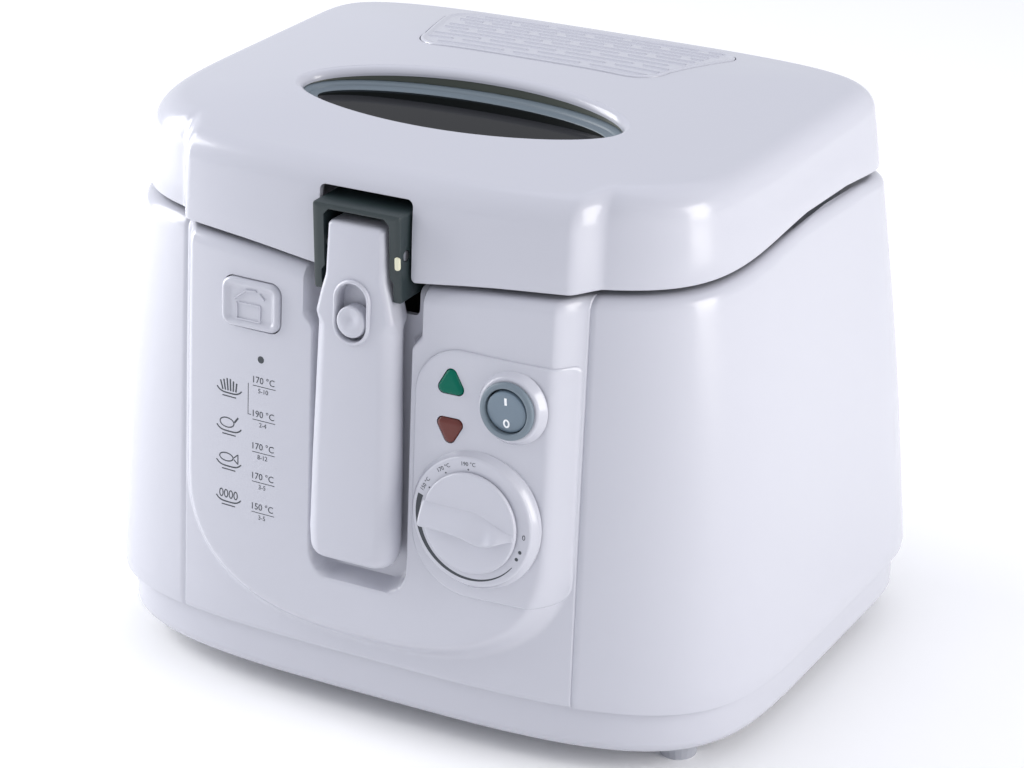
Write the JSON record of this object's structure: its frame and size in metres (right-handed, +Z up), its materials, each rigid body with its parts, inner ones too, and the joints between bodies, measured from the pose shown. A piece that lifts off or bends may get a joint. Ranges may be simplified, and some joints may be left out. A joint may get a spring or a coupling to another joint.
{
  "type": "deep fryer",
  "caption": "Household deep fryer with a hinged lid, viewing window, folding basket handle, rocker switch and thermostat knob.",
  "frame": {"origin": "bottom centre of the box round the object, on the surface it stands on", "axes": "+X to the right seen from the front, -Y out of the front where the handle and knob are, +Z up"},
  "size_m": [0.304, 0.2484, 0.247],
  "materials": {
    "white_plastic": "glossy moulded, cool white",
    "grey_plastic": "satin",
    "dark_plastic": "satin, dark grey-green",
    "green_lens": "translucent green",
    "red_lens": "translucent red",
    "coated_aluminium": "dark non-stick coating",
    "steel": "bright",
    "brass": "plain",
    "rubber": "matt",
    "silicone": "matt silicone",
    "glass": "polished, dark behind",
    "ceramic": "unglazed",
    "filter_fleece": "fleece",
    "charcoal": "charcoal mat"
  },
  "bodies": {
    "housing": {"base_tray": "white_plastic", "foot_front_left": "rubber", "foot_front_right": "rubber", "foot_rear_left": "rubber", "foot_rear_right": "rubber", "base_screw_1": "steel", "base_screw_2": "steel", "base_screw_3": "steel", "base_screw_4": "steel", "body_shell": "white_plastic", "front_panel": "white_plastic", "oil_bowl": "coated_aluminium", "heating_element": "steel", "heat_shield": "steel", "thermal_cutout": "ceramic", "terminal_block": "ceramic", "cord_gland": "rubber", "thermostat_body": "ceramic", "capillary_tube": "brass", "thermostat_bulb": "brass", "switch_housing": "grey_plastic", "switch_tab_left": "brass", "switch_tab_right": "brass", "green_lens": "green_lens", "green_lamp": "glass", "red_lens": "red_lens", "red_lamp": "glass", "release_spring": "steel", "basket_guide": "steel", "handle_bracket": "dark_plastic", "handle_pin": "steel", "hinge_bracket_left": "white_plastic", "hinge_bracket_right": "white_plastic", "hinge_pin_left": "steel", "hinge_pin_right": "steel"},
    "lid": {"lid_cover": "white_plastic", "lid_inner": "steel", "lid_seal": "silicone", "window_glass": "glass", "window_gasket": "silicone", "window_frame": "steel", "filter_box": "white_plastic", "grease_filter": "filter_fleece", "charcoal_filter": "charcoal", "lid_catch": "steel", "lid_hinge_left": "white_plastic", "lid_hinge_right": "white_plastic"},
    "filter_lid": {"filter_cover": "white_plastic"},
    "release": {"release_button": "white_plastic", "latch_hook": "steel"},
    "thermostat_knob": {"knob": "white_plastic", "thermostat_shaft": "steel"},
    "rocker": {"rocker_pad": "grey_plastic"},
    "handle": {"handle_grip": "white_plastic", "handle_cover": "white_plastic", "slide_spring": "steel"},
    "slide": {"handle_slide": "white_plastic"},
    "frying_basket": {"basket": "steel"}
  },
  "joints": [
    {"name": "lid_open", "type": "hinge", "parent": "housing", "child": "lid", "pos_m": [0, 0.1175, 0.203], "axis": [-1, 0, 0], "range_deg": [0, 80]},
    {"name": "filter_cover_lift", "type": "slide", "parent": "lid", "child": "filter_lid", "axis": [0, 0, 1], "range_m": [0, 0.03]},
    {"name": "release_press", "type": "slide", "parent": "housing", "child": "release", "axis": [0, 0.9972, -0.0746], "range_m": [0, 0.003], "stiffness_N_per_m": 500},
    {"name": "knob_turn", "type": "hinge", "parent": "housing", "child": "thermostat_knob", "pos_m": [0.0533, -0.11204, 0.1068], "axis": [0, 0.9972, -0.0746], "range_deg": [0, 270]},
    {"name": "rocker_tip", "type": "hinge", "parent": "housing", "child": "rocker", "pos_m": [0.0672, -0.11086, 0.15526], "axis": [-1, 0, 0], "range_deg": [0, 16]},
    {"name": "handle_fold", "type": "hinge", "parent": "housing", "child": "handle", "pos_m": [0, -0.1057, 0.207], "axis": [-1, 0, 0], "range_deg": [0, 90]},
    {"name": "slide_push", "type": "slide", "parent": "handle", "child": "slide", "axis": [0, 0.0847, 0.9964], "range_m": [0, 0.008], "stiffness_N_per_m": 150},
    {"name": "basket_lift", "type": "slide", "parent": "housing", "child": "frying_basket", "axis": [0, 0, 1], "range_m": [0, 0.045]}
  ],
  "couplings": [
    {"joint": "basket_lift", "follows": "handle_fold", "m_per_rad": 0.0286}
  ]
}
